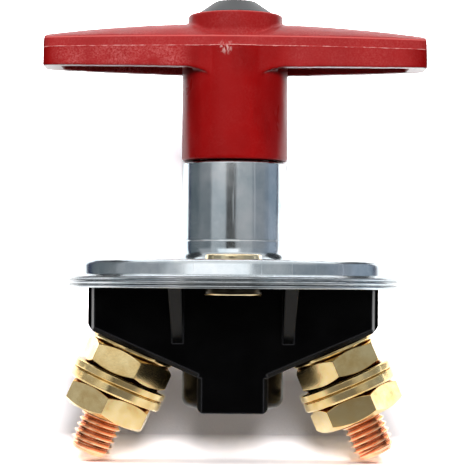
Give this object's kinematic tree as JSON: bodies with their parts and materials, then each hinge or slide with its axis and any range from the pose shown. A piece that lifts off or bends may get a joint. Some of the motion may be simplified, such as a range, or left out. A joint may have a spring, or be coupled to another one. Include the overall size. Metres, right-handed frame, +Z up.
{
  "type": "battery disconnect switch",
  "caption": "Panel-mounted battery disconnect switch with a red T handle on a steel tube, a round cover and two slanted threaded terminal studs.",
  "frame": {"origin": "centre of the round cover's top face, midway between the two mounting holes", "axes": "+Z up along the handle's axis, X along the handle's wings and the two terminals, Y through the two mounting holes"},
  "size_m": [0.09, 0.0786, 0.1077],
  "materials": {
    "red_moulding": "satin moulded plastic, faint flow marks",
    "grey_cap": "fine matt",
    "zinc_plate": "bright zinc plate with a bluish tint and fine scratches",
    "black_moulding": "hard moulded plastic, slightly dusty edges",
    "eyelet_brass": "plain brass",
    "gold_nut": "pale yellow passivated, slightly blotchy",
    "copper": "copper, rolled thread",
    "plain_steel": "plain turned steel",
    "nylon": "natural nylon",
    "seal_rubber": "matt rubber"
  },
  "bodies": {
    "base": {"upper_bush": "nylon", "lower_bush": "nylon", "guide_tube": "zinc_plate", "mounting_cover": "zinc_plate", "cover_gasket": "seal_rubber", "base_housing": "black_moulding", "eyelet_front": "eyelet_brass", "eyelet_rear": "eyelet_brass", "return_spring": "plain_steel", "stud_left": "copper", "base_washer_left": "gold_nut", "inner_nut_left": "gold_nut", "flat_washer_left": "gold_nut", "spring_washer_left": "gold_nut", "outer_nut_left": "gold_nut", "stud_right": "copper", "base_washer_right": "gold_nut", "inner_nut_right": "gold_nut", "flat_washer_right": "gold_nut", "spring_washer_right": "gold_nut", "outer_nut_right": "gold_nut"},
    "rotor": {"handle": "red_moulding", "handle_cap": "grey_cap", "handle_screw": "plain_steel", "screw_washer": "plain_steel", "spindle": "plain_steel", "drive_pin": "plain_steel", "retaining_clip": "plain_steel", "spindle_seal": "seal_rubber"},
    "carriage": {"contact_carrier": "black_moulding", "contact_bridge": "copper", "contact_washer": "plain_steel", "stem_clip": "plain_steel"}
  },
  "joints": [
    {"name": "handle_turn", "type": "hinge", "parent": "base", "child": "rotor", "pos_m": [0, 0, 0], "axis": [0, 0, 1], "range_deg": [0, 90]},
    {"name": "bridge_lift", "type": "slide", "parent": "base", "child": "carriage", "axis": [0, 0, 1], "range_m": [0, 0.0035], "deforming": ["return_spring"]}
  ],
  "couplings": [
    {"joint": "bridge_lift", "follows": "handle_turn", "m_per_rad": 0.002228}
  ]
}
